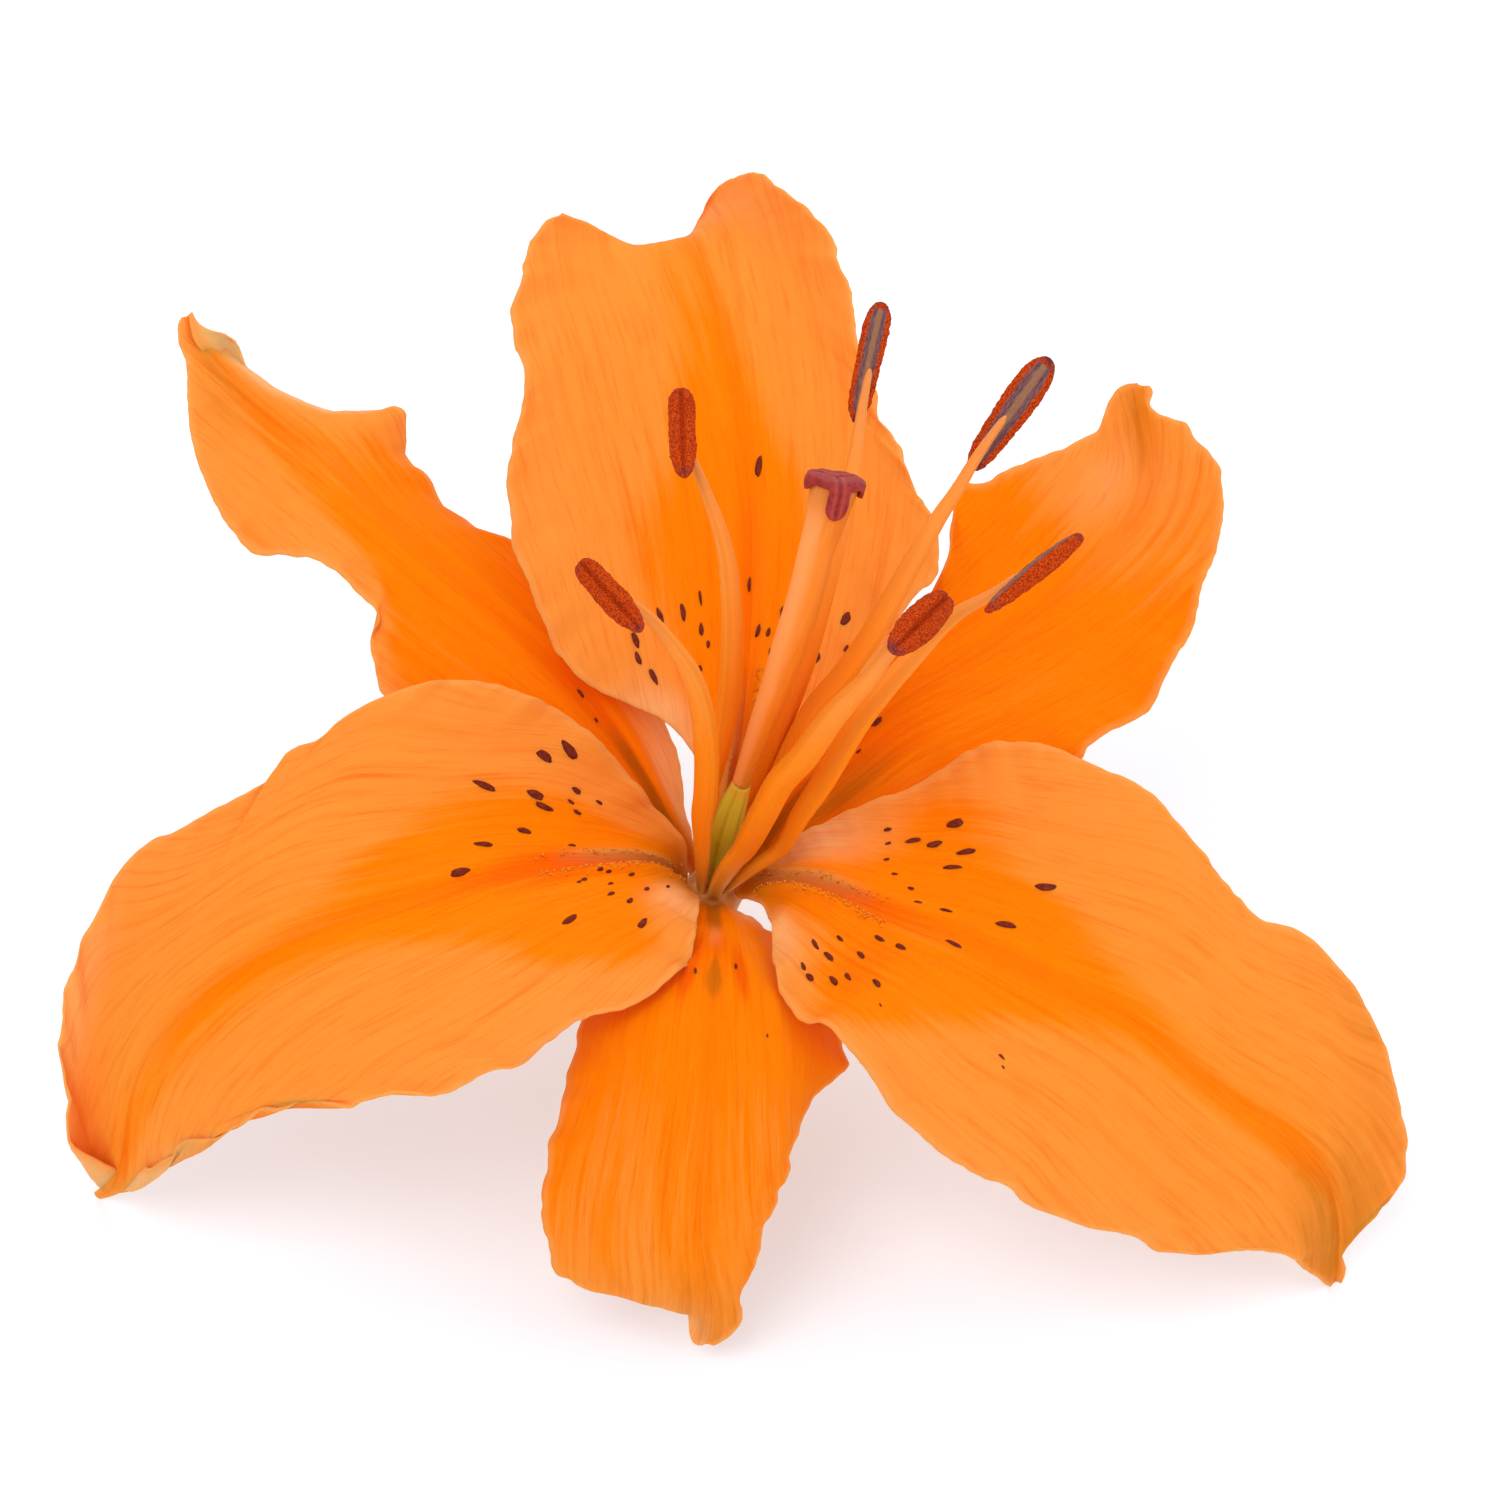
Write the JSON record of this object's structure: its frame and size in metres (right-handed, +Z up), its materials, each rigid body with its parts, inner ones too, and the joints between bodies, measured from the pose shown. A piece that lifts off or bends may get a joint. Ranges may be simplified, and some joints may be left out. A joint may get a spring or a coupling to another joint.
{
  "type": "cut lily bloom",
  "caption": "Open orange lily bloom on a short cut stalk: broad inner petals, narrower outer sepals, long curved stamens and a tall pistil.",
  "frame": {"origin": "middle of the bloom's footprint box, on the surface it rests on", "axes": "+Z up, +X to the right across the bloom as its open face is seen from the front, +Y towards the back, away from the open face"},
  "size_m": [0.1576, 0.1338, 0.0928],
  "materials": {
    "petal": "soft waxy living petal, thin and slightly translucent",
    "sepal": "soft waxy living petal, thin and slightly translucent",
    "filament": "smooth moist plant stalk",
    "anther": "matte granular pollen",
    "ovary": "smooth satin plant tissue",
    "style": "smooth satin plant tissue",
    "stigma": "sticky glossy and finely bumpy",
    "stalk": "smooth satin green stalk"
  },
  "bodies": {
    "root": {"petal_top": "petal", "petal_lower_left": "petal", "petal_lower_right": "petal", "sepal_upper_left": "sepal", "sepal_upper_right": "sepal", "sepal_bottom": "sepal", "filament_top": "filament", "filament_upper_left": "filament", "filament_lower_left": "filament", "filament_bottom": "filament", "filament_lower_right": "filament", "filament_upper_right": "filament", "anther_top": "anther", "anther_upper_left": "anther", "anther_lower_left": "anther", "anther_bottom": "anther", "anther_lower_right": "anther", "anther_upper_right": "anther", "ovary": "ovary", "style": "style", "stigma": "stigma", "pedicel": "stalk"}
  },
  "joints": []
}
